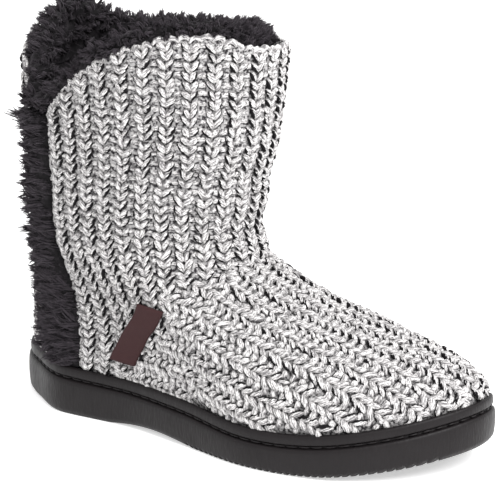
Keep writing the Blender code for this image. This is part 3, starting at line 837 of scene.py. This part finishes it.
# Painted light: the vamp gets less black ply than the shaft; its sunk bars get some painted shade.
VAMP_PAINTED_SHADE = -0.08
VAMP_BAR_PAINTED_SHADE = 0.15
VAMP_SEAM_LAP = 0.008
VAMP_LIP_LAP = 0.006
WALE_STEP = 0.001
ridge_levels = np.linspace(THROAT_LEVEL, LIP_LEVEL, 400)
ridge = upper_point(np.array(1.0), ridge_levels)
throat_x, tip_x = ridge[0, 0], ridge[-1, 0] - 0.0002
past_throat = throat_x + (tip_x - throat_x) * np.sin(np.linspace(0, pi / 2, 160))
section_x = np.concatenate([np.linspace(0.030, throat_x, 50)[:-1], past_throat])
top_level = np.interp(section_x, ridge[:, 0], ridge_levels)
down = np.linspace(0, 1, 120)[None, :] ** 1.7
section_level = top_level[:, None] + (LIP_LEVEL - top_level[:, None]) * down
back_x, front_x = ring_value(4, section_level), ring_value(5, section_level)
share = (along(section_x[:, None]) - back_x) / (front_x - back_x)
dense = np.linspace(0, 1, 2000)
sides = []
for line in (dense, 2 - dense):
    section_s = np.interp(share, along(outline(line, BULGE_INSET)[0]), line)
    to_lip = length_along(upper_point(section_s, section_level)[:, ::-1])[:, ::-1]
    full = np.where(section_x < throat_x, np.interp(throat_x, section_x, to_lip[:, 0]), to_lip[:, 0])
    sides.append((section_s, full[:, None] - to_lip))
(outer_s, outer_off), (inner_s, inner_off) = sides
off_ridge = np.concatenate([-outer_off[:, ::-1], inner_off], axis=1)
both_s = np.concatenate([outer_s[:, ::-1], inner_s], axis=1)
both_level = np.concatenate([section_level[:, ::-1], section_level], axis=1)
wale_grid = np.arange(-0.105, 0.105, WALE_STEP)
wale_s, wale_level = (
    np.array([np.interp(wale_grid, off, row, np.nan, np.nan) for off, row in zip(off_ridge, both)])
    for both in (both_s, both_level)
)


def wale_line(off_ridge):
    """Places and levels of one lengthwise line at a distance off the ridge, and its true length past the
    throat's section; none where the upper isn't that wide."""
    share = (off_ridge - wale_grid[0]) / WALE_STEP
    i = int(share)
    f = share - i
    s = (1 - f) * wale_s[:, i] + f * wale_s[:, i + 1]
    level = (1 - f) * wale_level[:, i] + f * wale_level[:, i + 1]
    there = np.isfinite(s)
    if there.sum() < 3:
        return None
    s, level, x = s[there], level[there], section_x[there]
    length = length_along(upper_point(s, level))
    return s, level, length - np.interp(throat_x, x, length)


def vamp_frames(offset):
    """Frames of the vamp's stitches in lines at whole numbers plus the offset, opening towards the toe."""
    parts = []
    for number in np.arange(-VAMP_LINES, VAMP_LINES + 1) + offset:
        line = wale_line(number * WALE_PITCH)
        if line is None:
            continue
        *places, length = line
        first = np.ceil(length[0] / COURSE_PITCH) * COURSE_PITCH
        at = np.arange(first, length[-1], COURSE_PITCH)
        ahead = at + 0.5 * COURSE_PITCH
        parts.append([np.interp(way, length, place) for way in (at, ahead) for place in places])
    s, level, up_s, up_level = np.concatenate(parts, axis=1)
    keep = (s > seam_place(1, level) - VAMP_SEAM_LAP) & (s < seam_place(2, level) + VAMP_SEAM_LAP)
    keep &= (level > LIP_LEVEL - VAMP_LIP_LAP) & (level < THROAT_LEVEL)
    keep &= np.hypot(up_s - s, up_level - level) > 1e-6
    return stitch_frames(s[keep], level[keep], up_s[keep], up_level[keep])


vamp_v = v_legs(VAMP_WIDER, VAMP_TALLER)
vamp_bar = [yarn_template(bar_path(VAMP_BAR_WIDER, VAMP_BAR_SUNK), VAMP_WIDER * bar_radius, 0.80, -0.4)]
plain = (vamp_v, vamp_frames(0.0), VAMP_PAINTED_SHADE)
make_knit("vamp_stitches", [plain, (vamp_bar, vamp_frames(0.5), VAMP_BAR_PAINTED_SHADE)])


# Fur. Deep curly charcoal pile lines the boot, stands as a roll on the knit's rim and fills the slit. Each
# part is a tufted body; the roll and the slit's fill have many small curled locks rooted in them.
CUFF_RISE = 0.00765
CUFF_DEPTH = 0.0125
CUFF_DROP = 0.0200
CUFF_SWELL = 0.0065
CUFF_SWELL_RUN = 0.085
CUFF_HUMP = 0.0040
CUFF_HUMP_PLACE = 1.93
CUFF_HUMP_RUN = 0.15
CUFF_LEAN = 0.35
FRONT_SET_BACK = 0.0100
REAR_SET_BACK = 0.0060
CUFF_STATIONS = 430
CUFF_RINGS = 44
GUSSET_BULGE = 0.0060
GUSSET_TOP_GAP = 0.006
LINING_STATIONS = 200
LINING_ROWS = 44
CUFF_SECTION = (
    # out as a share of the depth, up as a share of the rise or drop
    (-0.03, 0.07),
    (-0.04, 0.38),
    (-0.08, 0.75),
    (-0.24, 1.00),
    (-0.52, 1.06),
    (-0.85, 0.85),
    (-1.02, 0.35),
    (-1.02, -0.20),
    (-0.95, -0.60),
    (-0.70, -0.97),
    (-0.30, -1.00),
    (-0.30, -0.50),
    (-0.29, 0.05),
)
TUFT_SIZE = 0.0043
TUFT_HEIGHT = 0.0036
TUFT_COUNT = 1400
LOCK_SPREAD = 0.0016
LOCK_THICKNESS = 0.00034
LOCK_CURL = 0.65
STRAY_THICKNESS = 0.00011
LONG_LOCK_PLACE = (0.287, 0.825)
LONG_LOCK_REACH = 0.0032
LONG_LOCK_LEAN = (-1.3, -1.0, 0.45)
LONG_LOCK_OVER = (-0.3, 0.0, 1.0)

fur, tree, shader = new_material(
    "curly_fur", (0.02, 0.018, 0.02), 0.85, Specular_IOR_Level=0.15, Sheen_Weight=0.18, Sheen_Roughness=0.5
)
shader.inputs["Sheen Tint"].default_value = (0.55, 0.50, 0.55, 1.0)
curl = object_noise(tree, 420.0, 4.0)
tip = weigh(tree, own_value(tree, "lengthwise"), 0.35, curl)
mixed = weigh(tree, own_value(tree, "shade"), 0.25, tip)
tint(tree, shader, narrow(tree, mixed, 0.45, 1.05), (0.004, 0.0035, 0.004), (0.036, 0.0305, 0.036))
add_bump(tree, shader, curl, 0.0012, 0.8)


def closed_normals(points):
    """Unit cross product of the central differences of a grid that closes on itself both ways."""
    onward, upward = (np.roll(points, -1, axis) - np.roll(points, 1, axis) for axis in (1, 0))
    return unit(np.cross(onward, upward) + 1e-15)


def tufts(points, seed):
    """Height of rounded tufts: at each point, the tallest of the half-round caps set about the surface."""
    chooser = np.random.default_rng(seed)
    flat = points.reshape(-1, 3)
    total = len(flat)
    centres = flat[chooser.choice(total, min(total, TUFT_COUNT), replace=False)]
    sizes = TUFT_SIZE * (0.7 + 0.7 * chooser.random(len(centres)))
    height = np.zeros(total)
    for start in range(0, total, 2000):
        gap = np.linalg.norm(flat[start : start + 2000, None] - centres[None], axis=-1) / sizes
        caps = np.sqrt(np.clip(1 - gap * gap, 0, 1)) * sizes / TUFT_SIZE
        height[start : start + 2000] = np.max(caps, axis=1)
    return (TUFT_HEIGHT * height).reshape(points.shape[:-1])


def make_locks(name, ways, count, strands, seed, length, spread, thick, curl=1.0):
    """One piece of locks of a few strands each. Ways holds the roots, their normals, the lean and the over
    direction. A strand is a tapered tube of three sides along a circle's arc: it leaves the surface between
    normal and lean, and bends over by about 90 degrees times the curl. A lock's strands start side by side
    and draw together towards its tip."""
    roots, normals, lean, over = (way.reshape(-1, 3) for way in ways)
    chooser = np.random.default_rng(seed)
    picked = chooser.choice(len(roots), count)
    root = roots[picked][:, None]
    out = unit(normals[picked] + lean[picked] + 0.20 * chooser.standard_normal((count, 3)))[:, None]
    out = unit(out + 0.10 * chooser.standard_normal((count, strands, 3)))
    sideways = over[picked] + 0.4 * chooser.standard_normal((count, 3))
    sideways = unit(np.cross(np.cross(out, sideways[:, None]), out))
    cross = np.cross(out, sideways)
    t = np.array([0.0, 0.38, 0.72, 1.0])
    total = curl * (0.9 + 1.5 * chooser.random((count, 1))) * (0.8 + 0.4 * chooser.random((count, strands)))
    bend = total[..., None] * t
    size = length * (0.7 + 0.5 * chooser.random((count, 1)))
    size = size * (0.75 + 0.4 * chooser.random((count, strands))) / total
    turn = 2 * pi * chooser.random((count, strands, 1))
    wide = spread * chooser.random((count, strands, 1)) ** 0.5 * np.array([1.0, 1.05, 0.75, 0.25])
    up = size[..., None] * np.sin(bend) - 0.25 * length
    aside = size[..., None] * (1 - np.cos(bend)) + wide * np.cos(turn)
    line = root[:, :, None] + up[..., None] * out[:, :, None] + aside[..., None] * sideways[:, :, None]
    line += (wide * np.sin(turn))[..., None] * cross[:, :, None]
    radial = np.cos(bend)[..., None] * sideways[:, :, None] - np.sin(bend)[..., None] * out[:, :, None]
    radius = thick * (0.7 + 0.6 * chooser.random((count, strands, 1))) * np.array([0.9, 1.1, 0.85, 0.12])
    angle = np.arange(3)[:, None] * 2 * pi / 3
    ring = np.cos(angle) * radial[..., None, :] + np.sin(angle) * cross[:, :, None, None]
    points = line[..., None, :] + radius[..., None, None] * ring
    share = np.broadcast_to(t[:, None], points.shape[:-1])
    tone = np.broadcast_to(chooser.random((count, 1, 1, 1)), points.shape[:-1])
    values = {"lengthwise": share, "shade": tone}
    make_piece(name, points, tube_faces(4, 3, count * strands), fur, "curly_fur", values)


def make_fur(name, ways, seed, locks, strands, length, strays):
    """Two pieces of pile on one surface: full locks, and stray single hairs that soften the outline."""
    make_locks(name + "_locks", ways, locks, strands, seed, length, LOCK_SPREAD, LOCK_THICKNESS, LOCK_CURL)
    make_locks(name + "_strays", ways, strays, 1, seed + 1, 1.25 * length, 0.0, STRAY_THICKNESS)


def closed_curve(rows, count):
    """Catmull-Rom curve through closed rows of points, at an even count of places."""
    total = len(rows)
    place = np.arange(count) * total / count
    i = place.astype(int)
    f = (place - i)[:, None, None]
    before, here, after, beyond = (rows[(i + step) % total] for step in (-1, 0, 1, 2))
    bend = 2 * before - 5 * here + 4 * after - beyond + f * (3 * (here - after) + beyond - before)
    return here + 0.5 * f * (after - before + f * bend)


cuff_s = even_places(CUFF_STATIONS)
small = 2e-3
rim_level = collar_level(cuff_s)
rim = upper_point(cuff_s, rim_level)
ahead, behind = (upper_point(s, collar_level(s)) for s in (cuff_s + small, cuff_s - small))
rim_line = unit(ahead - behind)
outward = upper_normal(cuff_s, rim_level)
upward = np.cross(outward, rim_line)
upward *= np.sign(upward[:, 2:])
upward = CUFF_LEAN * upward + (1 - CUFF_LEAN) * STRAIGHT_UP
slit_middle = 0.5 * (slit_edge(1, 1.0) + slit_edge(2, 1.0))
swell = CUFF_SWELL * bell(cuff_s, slit_middle, CUFF_SWELL_RUN)
off_hump = np.mod(cuff_s - CUFF_HUMP_PLACE + 1, 2.0) - 1
rise = CUFF_RISE + CUFF_HUMP * bell(off_hump, 0.0, CUFF_HUMP_RUN)
level_length = np.linalg.norm(rim - upper_point(cuff_s, rim_level - small), axis=-1) / small
set_back = FRONT_SET_BACK * bell(cuff_s, 1.16, 0.30) + REAR_SET_BACK * bell(off_hump, 0.17, 0.17)
section = []
for out, up in CUFF_SECTION:
    if up > 0:
        fuller = swell * (up > 0.1) * np.clip(1 + 1.6 * out, 0.0, 1.0) - set_back * (0.7 + 0.5 * up)
        section.append(rim + (CUFF_DEPTH * out + fuller)[:, None] * outward + (rise * up)[:, None] * upward)
    else:
        level = rim_level + up * CUFF_DROP / level_length
        section.append(upper_point(cuff_s, level) + CUFF_DEPTH * out * upper_normal(cuff_s, level))
body = closed_curve(np.stack(section), CUFF_RINGS)
normals = closed_normals(body)
centre = body.mean(axis=0, keepdims=True)
normals *= np.sign(((body - centre) * normals).sum(-1).mean())
loft = np.sin(pi * np.clip(np.arange(CUFF_RINGS) / 33, 0, 1))[:, None] ** 0.5
lumpy = body + (loft * (tufts(body, 11) - 0.0052))[..., None] * normals
faces = grid_quads(CUFF_RINGS, CUFF_STATIONS, True, True)
if np.sum(np.cross(lumpy[0, 1] - lumpy[0, 0], lumpy[1, 0] - lumpy[0, 0]) * normals[0, 0]) < 0:
    faces = faces[:, ::-1]
cuff_body = make_piece("fur_cuff_body", lumpy, [faces], fur, "curly_fur")
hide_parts("fur_cuff")
facing = closed_normals(lumpy)
facing *= np.sign((facing * normals).sum(-1, keepdims=True))
normals = unit(0.5 * normals + facing)
rooted = slice(1, 29)
inwards = np.clip((np.arange(CUFF_RINGS) - 14) / 8.0, 0, 1)[rooted, None, None]
lean = 0.8 * (1 - 1.6 * inwards) * upward[None]
over = (1 - 2 * inwards) * outward[None] - 0.3 * STRAIGHT_UP
ways = (lumpy[rooted], normals[rooted], lean, over)
make_fur("fur_cuff", ways, seed=12, locks=1080, strands=9, length=0.0056, strays=1800)

heights = np.concatenate([[0.0, LIP_LEVEL], np.linspace(0.07, 1.0, 110)])[:, None]
across = np.linspace(0.0, 1.0, 26)[None, :]
top = collar_level(slit_edge(1, 1.0) + (slit_edge(2, 1.0) - slit_edge(1, 1.0)) * across)
level = np.where(heights > LIP_LEVEL, heights * (top - GUSSET_TOP_GAP), heights)
s = slit_edge(1, level) + (slit_edge(2, level) - slit_edge(1, level)) * across
normal = upper_normal(s, level)
face = upper_point(s, level)
rising = np.clip((level - 1.15 * LIP_LEVEL) / LIP_LEVEL, 0.0, 1.0)
crown = np.sin(pi * across) ** 0.6 * rising
loft = crown * (GUSSET_BULGE - 0.0042) + rising * (tufts(face, 13) * crown - 0.0014)
outer = face + loft[..., None] * normal
skins = [outer, face - KNIT_WALL * normal]
gusset_body = make_piece("fur_gusset_body", skins, wall_faces(*s.shape), fur, "curly_fur")
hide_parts("fur_gusset")
sweep = unit(upper_point(s - 0.01, level) - upper_point(s + 0.01, level))[6:, 1:-1]
ways = (outer[6:, 1:-1], normal[6:, 1:-1], 0.45 * sweep + 0.20 * STRAIGHT_UP, sweep)
make_fur("fur_gusset", ways, seed=14, locks=430, strands=11, length=0.0100, strays=900)

near = np.linalg.norm(outer - upper_point(*LONG_LOCK_PLACE), axis=-1) < LONG_LOCK_REACH
lean, over = (np.broadcast_to(way, (near.sum(), 3)) for way in (LONG_LOCK_LEAN, LONG_LOCK_OVER))
shape = {"length": 0.0165, "spread": 0.0018, "thick": 0.00036, "curl": 0.3}
make_locks("fur_long_tuft", (outer[near], normal[near], lean, over), count=6, strands=9, seed=18, **shape)

lining_s = even_places(LINING_STATIONS)
lining_height = np.linspace(0.10, 0.93, LINING_ROWS)[:, None]
level = lining_height * collar_level(lining_s)[None, :]
s = np.broadcast_to(lining_s[None, :], level.shape)
normal = upper_normal(s, level)
face = upper_point(s, level)
inner = face - (KNIT_WALL + 0.0022 + tufts(face, 15))[..., None] * normal
backing = face - (KNIT_WALL + 0.0002) * normal
count = level.size
front = grid_quads(LINING_ROWS, LINING_STATIONS, wrap_columns=True)
low = np.arange(LINING_STATIONS)
high = low + (LINING_ROWS - 1) * LINING_STATIONS
brim = np.stack([np.roll(high, -1), high, high + count, np.roll(high, -1) + count], axis=1)
hem = np.stack([low + count, np.roll(low, -1) + count, np.roll(low, -1), low], axis=1)
make_piece("pile_lining", [backing, inner], [front, front[:, ::-1] + count, brim, hem], fur, "curly_fur")


# Side tab. A folded dark brown woven ribbon, caught by its front edge in the vamp's seam and standing off
# the knit at its rear fold. It is left blank.
LABEL_WIDTH = 0.0135
LABEL_LENGTH = 0.0385
LABEL_THICKNESS = 0.0014
LABEL_GAP = 0.0006
LABEL_LIFT = 0.40
LABEL_SKEW = 0.20
LABEL_FOOT = (0.420, 0.130)
LABEL_RUN = (0.165, 0.320)
LABEL_BOW = 0.027
LABEL_ROWS = 28
LABEL_SECTION = (
    # share of the width, share of the thickness, down and up round the fold
    (0.00, 0.00), (0.30, 0.02), (0.60, 0.0), (0.88, 0.0), (0.96, 0.08), (1.00, 0.35), (1.00, 0.65),
    (0.96, 0.92), (0.88, 1.0), (0.60, 1.05), (0.30, 1.0), (0.10, 0.85), (0.00, 0.62), (0.00, 0.38),
)

ribbon, tree, shader = new_material("label_ribbon", (0.050, 0.022, 0.023), 0.75, Specular_IOR_Level=0.15)
weave = object_noise(tree, 1400.0, 1.0, (1.0, 1.0, 3.0))
tint(tree, shader, weave, (0.026, 0.0105, 0.011), (0.046, 0.020, 0.021))
add_bump(tree, shader, weave, 0.0002, 0.8)

foot = upper_point(*LABEL_FOOT)
head = upper_point(LABEL_FOOT[0] + LABEL_RUN[0], LABEL_FOOT[1] + LABEL_RUN[1])
share = LABEL_LENGTH / np.linalg.norm(head - foot) * np.linspace(0.0, 1.0, LABEL_ROWS)
s = LABEL_FOOT[0] + LABEL_RUN[0] * share - LABEL_BOW * 4 * share * (1 - share)
level = LABEL_FOOT[1] + LABEL_RUN[1] * share
normal = upper_normal(s, level)
seam = upper_point(s, level) + LABEL_GAP * normal
back = unit(upper_point(s - SLIT_GAP, level) - upper_point(s + SLIT_GAP, level))
rise = np.cross(back, normal)
rise *= np.sign(rise[:, 2:])
wide = np.cos(LABEL_LIFT) * (np.cos(LABEL_SKEW) * back + np.sin(LABEL_SKEW) * rise)
wide = wide + np.sin(LABEL_LIFT) * normal
face = unit(np.cross(wide, seam[-1:] - seam[:1]))
face *= np.sign((face * normal).sum(axis=-1, keepdims=True))
rows = [seam + LABEL_WIDTH * a * wide + LABEL_THICKNESS * b * face for a, b in LABEL_SECTION]
faces = tube_faces(LABEL_ROWS, len(LABEL_SECTION), 1)
label = make_piece("side_tab", np.stack(rows, axis=1), faces, ribbon, "label_ribbon")
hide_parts("side_label")


# Studio. A plain white floor in a plain white room, with one large soft light ahead of the toe and above it.
# The floor glows faintly, as painted light that lifts its shadows and lights the sole from below.
# The camera stands at the photograph's angle, and its shift frames the slipper as the photograph does.
CAMERA_TARGET = Vector((0.0905, 0.0, 0.100))
CAMERA_AZIMUTH = np.radians(36.8)
CAMERA_ELEVATION = np.radians(12.1)
CAMERA_DISTANCE = 0.8426
CAMERA_LENS = 125.4
PRINCIPAL_POINT = (236.4, 224.8)
PHOTO_SIZE = (500, 491)
LIGHT_PLACE = Vector((1.3, -0.35, 1.3))
LIGHT_SIZE = 1.0
LIGHT_POWER = 34.0
FLOOR_REACH = 6.0


def aimed(place, back):
    """Matrix of a camera or a lamp at a place, with its back turned that way."""
    return Matrix.Translation(place) @ back.to_track_quat("Z", "Y").to_matrix().to_4x4()


level_share = np.cos(CAMERA_ELEVATION)
back = Vector((
    np.sin(CAMERA_AZIMUTH) * level_share, -np.cos(CAMERA_AZIMUTH) * level_share, np.sin(CAMERA_ELEVATION)
))
camera = new_object("camera", bpy.data.cameras.new("camera"))
camera.data.lens = CAMERA_LENS
camera.data.shift_x = (PHOTO_SIZE[0] / 2 - PRINCIPAL_POINT[0]) / PHOTO_SIZE[0]
camera.data.shift_y = (PRINCIPAL_POINT[1] - PHOTO_SIZE[1] / 2) / PHOTO_SIZE[0]
camera.matrix_world = aimed(CAMERA_TARGET + CAMERA_DISTANCE * back, back)
bpy.context.scene.camera = camera

# Painted light: the floor's white glow lightens the shadow under the toe and the sole's underside.
glowing_floor = new_material(
    "studio_floor", (0.92, 0.92, 0.92), 0.9, Specular_IOR_Level=0.1, Emission_Color=(1.0, 1.0, 1.0, 1.0),
    Emission_Strength=0.5,
)[0]
floor_mesh = bpy.data.meshes.new("studio_floor")
corners = [(FLOOR_REACH * x, FLOOR_REACH * y, 0) for x, y in ((-1, -1), (1, -1), (1, 1), (-1, 1))]
floor_mesh.from_pydata(corners, [], [(0, 1, 2, 3)])
floor_mesh.materials.append(glowing_floor)
floor = new_object("studio_floor", floor_mesh)

room = bpy.data.worlds.new("studio_room")
room.use_nodes = True
room.node_tree.nodes["Background"].inputs["Color"].default_value = (1.0, 1.0, 1.0, 1.0)
room.node_tree.nodes["Background"].inputs["Strength"].default_value = 1.0
bpy.context.scene.world = room

lamp = new_object("soft_light", bpy.data.lights.new("soft_light", "AREA"))
lamp.data.size = LIGHT_SIZE
lamp.data.energy = LIGHT_POWER
lamp.matrix_world = aimed(LIGHT_PLACE, LIGHT_PLACE - CAMERA_TARGET)
bpy.context.scene.view_settings.view_transform = "Standard"
